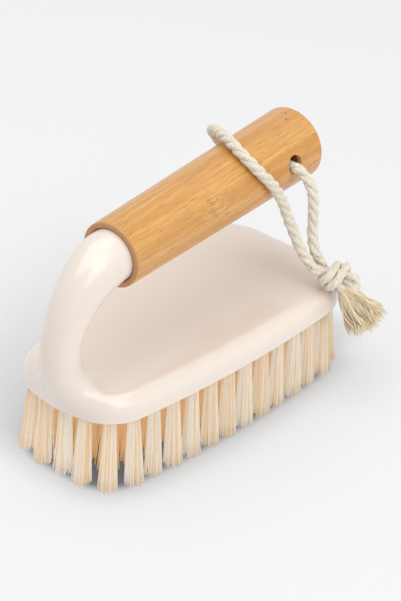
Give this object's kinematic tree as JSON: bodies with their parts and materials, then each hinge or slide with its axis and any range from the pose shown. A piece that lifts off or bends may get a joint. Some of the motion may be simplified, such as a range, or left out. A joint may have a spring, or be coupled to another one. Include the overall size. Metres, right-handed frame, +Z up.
{
  "type": "cleaning brush",
  "caption": "Hand scrubbing brush: a tapered block with level-trimmed bristle tufts, a curved neck rising to a round bamboo handle over the block, and a cotton hanging loop.",
  "frame": {"origin": "on the plane of the bristle tips, under the middle of the brush's length and width without its cord", "axes": "+X along the block towards the handle's free end, +Y across it, +Z up from the bristle tips"},
  "size_m": [0.1578, 0.0961, 0.1124],
  "materials": {
    "cream_plastic": "glossy",
    "bamboo": "satin, fine lengthwise grain",
    "bristle": "matte",
    "cotton": "matte, twisted"
  },
  "bodies": {
    "root": {"brush_body": "cream_plastic", "bamboo_handle": "bamboo", "tuft_row_01": "bristle", "tuft_row_02": "bristle", "tuft_row_03": "bristle", "tuft_row_04": "bristle", "tuft_row_05": "bristle", "tuft_row_06": "bristle", "tuft_row_07": "bristle", "tuft_row_08": "bristle", "tuft_row_09": "bristle", "tuft_row_10": "bristle", "tuft_row_11": "bristle", "tuft_row_12": "bristle", "tuft_row_13": "bristle", "tuft_row_14": "bristle", "tuft_row_15": "bristle", "hanging_cord": "cotton", "cord_knot": "cotton", "cord_tassel": "cotton"}
  },
  "joints": []
}
